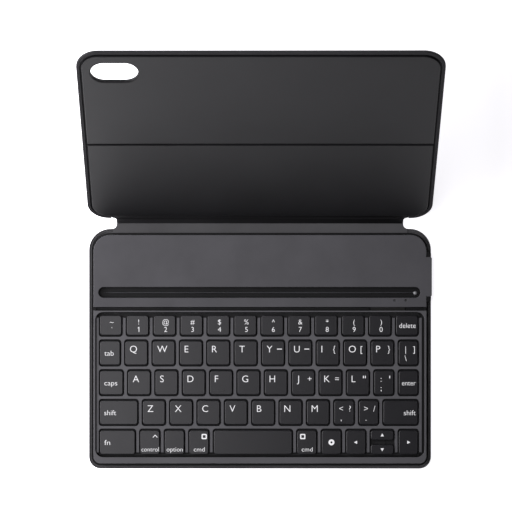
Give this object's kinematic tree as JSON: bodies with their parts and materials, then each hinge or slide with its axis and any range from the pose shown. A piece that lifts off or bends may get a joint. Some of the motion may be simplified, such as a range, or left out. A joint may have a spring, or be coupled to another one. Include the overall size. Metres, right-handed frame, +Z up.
{
  "type": "tablet keyboard case",
  "caption": "Folio keyboard case for a small tablet: chiclet keys, deck with a tablet slot, and a two-leaf creased cover on a soft spine with a camera window.",
  "frame": {"origin": "centre of the base's underside, on the surface that it stands on", "axes": "+X to the right along the keys, +Y to the rear towards the spine and the raised cover, +Z up"},
  "size_m": [0.2012, 0.2361, 0.1161],
  "materials": {
    "skin": "fine-grained synthetic leather, satin",
    "lining": "smooth synthetic leather, satin",
    "deck": "fine matte texture",
    "keycap": "satin, light texture, pale legends",
    "black": "matte black",
    "board": "glass-fibre stiffener",
    "steel": "plain",
    "film": "polyester film",
    "silicone": "soft",
    "circuit": "solder mask",
    "cell": "foil pouch",
    "lamp": "clear light pipe"
  },
  "bodies": {
    "base": {"base_skin": "skin", "lower_shell": "black", "keyboard_frame": "deck", "top_deck": "deck", "slot_rail_front": "black", "slot_rail_rear": "black", "slot_magnet_bar": "steel", "port_bezel": "black", "usb_socket_shell": "steel", "usb_socket_tongue": "black", "support_plate": "steel", "membrane": "film", "dome_sheet": "silicone", "battery": "cell", "circuit_board": "circuit", "controller_chip": "black", "flex_ribbon": "film", "lamp_pipe_left": "lamp", "lamp_pipe_right": "lamp", "key_web": "deck"},
    "switch": {"power_switch": "black"},
    "tongue": {"spine_tongue": "skin"},
    "spine": {"spine_strip": "skin"},
    "lower_cover": {"lower_cover_skin": "skin", "lower_cover_board": "board", "lower_cover_lining": "lining"},
    "upper_cover": {"upper_cover_skin": "skin", "upper_cover_board": "board", "upper_cover_lining": "lining", "cover_magnet_left": "steel", "cover_magnet_right": "steel"},
    "body_key_fn": {"key_fn": "keycap"},
    "body_key_control": {"key_control": "keycap"},
    "body_key_option": {"key_option": "keycap"},
    "body_key_command_left": {"key_command_left": "keycap"},
    "body_key_space": {"key_space": "keycap"},
    "body_key_command_right": {"key_command_right": "keycap"},
    "body_key_link": {"key_link": "keycap"},
    "body_key_arrow_left": {"key_arrow_left": "keycap"},
    "body_key_arrow_down": {"key_arrow_down": "keycap"},
    "body_key_arrow_up": {"key_arrow_up": "keycap"},
    "body_key_arrow_right": {"key_arrow_right": "keycap"},
    "body_key_shift_left": {"key_shift_left": "keycap"},
    "body_key_shift_right": {"key_shift_right": "keycap"},
    "body_key_caps": {"key_caps": "keycap"},
    "body_key_enter": {"key_enter": "keycap"},
    "body_key_tab": {"key_tab": "keycap"},
    "body_key_delete": {"key_delete": "keycap"},
    "body_key_z": {"key_z": "keycap"},
    "body_key_x": {"key_x": "keycap"},
    "body_key_c": {"key_c": "keycap"},
    "body_key_v": {"key_v": "keycap"},
    "body_key_b": {"key_b": "keycap"},
    "body_key_n": {"key_n": "keycap"},
    "body_key_m": {"key_m": "keycap"},
    "body_key_comma": {"key_comma": "keycap"},
    "body_key_full_stop": {"key_full_stop": "keycap"},
    "body_home_row_keys": {"home_row_keys": "keycap"},
    "body_upper_row_keys": {"upper_row_keys": "keycap"},
    "body_number_row_keys": {"number_row_keys": "keycap"}
  },
  "joints": [
    {"name": "base_crease", "type": "hinge", "parent": "base", "child": "tongue", "pos_m": [0, 0.0689, 0.0006], "axis": [1, 0, 0], "range_deg": [0, 90]},
    {"name": "standing_crease", "type": "hinge", "parent": "tongue", "child": "spine", "pos_m": [0, 0.0739, 0.0006], "axis": [-1, 0, 0], "range_deg": [-38.5, 51.5]},
    {"name": "cover_crease", "type": "hinge", "parent": "spine", "child": "lower_cover", "pos_m": [0, 0.07932, 0.00741], "axis": [1, 0, 0], "range_deg": [0, 90]},
    {"name": "stand_crease", "type": "hinge", "parent": "lower_cover", "child": "upper_cover", "pos_m": [0, 0.11892, 0.05679], "axis": [-1, 0, 0], "range_deg": [0, 60]},
    {"name": "power_switch_slide", "type": "slide", "parent": "base", "child": "switch", "axis": [0, 1, 0], "range_m": [0, 0.0024]},
    {"name": "key_fn_press", "type": "slide", "parent": "base", "child": "body_key_fn", "axis": [0, 0, -1], "range_m": [0, 0.0009], "stiffness_N_per_m": 650},
    {"name": "key_control_press", "type": "slide", "parent": "base", "child": "body_key_control", "axis": [0, 0, -1], "range_m": [0, 0.0009], "stiffness_N_per_m": 650},
    {"name": "key_option_press", "type": "slide", "parent": "base", "child": "body_key_option", "axis": [0, 0, -1], "range_m": [0, 0.0009], "stiffness_N_per_m": 650},
    {"name": "key_command_left_press", "type": "slide", "parent": "base", "child": "body_key_command_left", "axis": [0, 0, -1], "range_m": [0, 0.0009], "stiffness_N_per_m": 650},
    {"name": "key_space_press", "type": "slide", "parent": "base", "child": "body_key_space", "axis": [0, 0, -1], "range_m": [0, 0.0009], "stiffness_N_per_m": 650},
    {"name": "key_command_right_press", "type": "slide", "parent": "base", "child": "body_key_command_right", "axis": [0, 0, -1], "range_m": [0, 0.0009], "stiffness_N_per_m": 650},
    {"name": "key_link_press", "type": "slide", "parent": "base", "child": "body_key_link", "axis": [0, 0, -1], "range_m": [0, 0.0009], "stiffness_N_per_m": 650},
    {"name": "key_arrow_left_press", "type": "slide", "parent": "base", "child": "body_key_arrow_left", "axis": [0, 0, -1], "range_m": [0, 0.0009], "stiffness_N_per_m": 650},
    {"name": "key_arrow_down_press", "type": "slide", "parent": "base", "child": "body_key_arrow_down", "axis": [0, 0, -1], "range_m": [0, 0.0009], "stiffness_N_per_m": 650},
    {"name": "key_arrow_up_press", "type": "slide", "parent": "base", "child": "body_key_arrow_up", "axis": [0, 0, -1], "range_m": [0, 0.0009], "stiffness_N_per_m": 650},
    {"name": "key_arrow_right_press", "type": "slide", "parent": "base", "child": "body_key_arrow_right", "axis": [0, 0, -1], "range_m": [0, 0.0009], "stiffness_N_per_m": 650},
    {"name": "key_shift_left_press", "type": "slide", "parent": "base", "child": "body_key_shift_left", "axis": [0, 0, -1], "range_m": [0, 0.0009], "stiffness_N_per_m": 650},
    {"name": "key_shift_right_press", "type": "slide", "parent": "base", "child": "body_key_shift_right", "axis": [0, 0, -1], "range_m": [0, 0.0009], "stiffness_N_per_m": 650},
    {"name": "key_caps_press", "type": "slide", "parent": "base", "child": "body_key_caps", "axis": [0, 0, -1], "range_m": [0, 0.0009], "stiffness_N_per_m": 650},
    {"name": "key_enter_press", "type": "slide", "parent": "base", "child": "body_key_enter", "axis": [0, 0, -1], "range_m": [0, 0.0009], "stiffness_N_per_m": 650},
    {"name": "key_tab_press", "type": "slide", "parent": "base", "child": "body_key_tab", "axis": [0, 0, -1], "range_m": [0, 0.0009], "stiffness_N_per_m": 650},
    {"name": "key_delete_press", "type": "slide", "parent": "base", "child": "body_key_delete", "axis": [0, 0, -1], "range_m": [0, 0.0009], "stiffness_N_per_m": 650},
    {"name": "key_z_press", "type": "slide", "parent": "base", "child": "body_key_z", "axis": [0, 0, -1], "range_m": [0, 0.0009], "stiffness_N_per_m": 650},
    {"name": "key_x_press", "type": "slide", "parent": "base", "child": "body_key_x", "axis": [0, 0, -1], "range_m": [0, 0.0009], "stiffness_N_per_m": 650},
    {"name": "key_c_press", "type": "slide", "parent": "base", "child": "body_key_c", "axis": [0, 0, -1], "range_m": [0, 0.0009], "stiffness_N_per_m": 650},
    {"name": "key_v_press", "type": "slide", "parent": "base", "child": "body_key_v", "axis": [0, 0, -1], "range_m": [0, 0.0009], "stiffness_N_per_m": 650},
    {"name": "key_b_press", "type": "slide", "parent": "base", "child": "body_key_b", "axis": [0, 0, -1], "range_m": [0, 0.0009], "stiffness_N_per_m": 650},
    {"name": "key_n_press", "type": "slide", "parent": "base", "child": "body_key_n", "axis": [0, 0, -1], "range_m": [0, 0.0009], "stiffness_N_per_m": 650},
    {"name": "key_m_press", "type": "slide", "parent": "base", "child": "body_key_m", "axis": [0, 0, -1], "range_m": [0, 0.0009], "stiffness_N_per_m": 650},
    {"name": "key_comma_press", "type": "slide", "parent": "base", "child": "body_key_comma", "axis": [0, 0, -1], "range_m": [0, 0.0009], "stiffness_N_per_m": 650},
    {"name": "key_full_stop_press", "type": "slide", "parent": "base", "child": "body_key_full_stop", "axis": [0, 0, -1], "range_m": [0, 0.0009], "stiffness_N_per_m": 650},
    {"name": "home_row_keys_press", "type": "slide", "parent": "base", "child": "body_home_row_keys", "axis": [0, 0, -1], "range_m": [0, 0.0009], "stiffness_N_per_m": 1600},
    {"name": "upper_row_keys_press", "type": "slide", "parent": "base", "child": "body_upper_row_keys", "axis": [0, 0, -1], "range_m": [0, 0.0009], "stiffness_N_per_m": 1600},
    {"name": "number_row_keys_press", "type": "slide", "parent": "base", "child": "body_number_row_keys", "axis": [0, 0, -1], "range_m": [0, 0.0009], "stiffness_N_per_m": 1600}
  ]
}
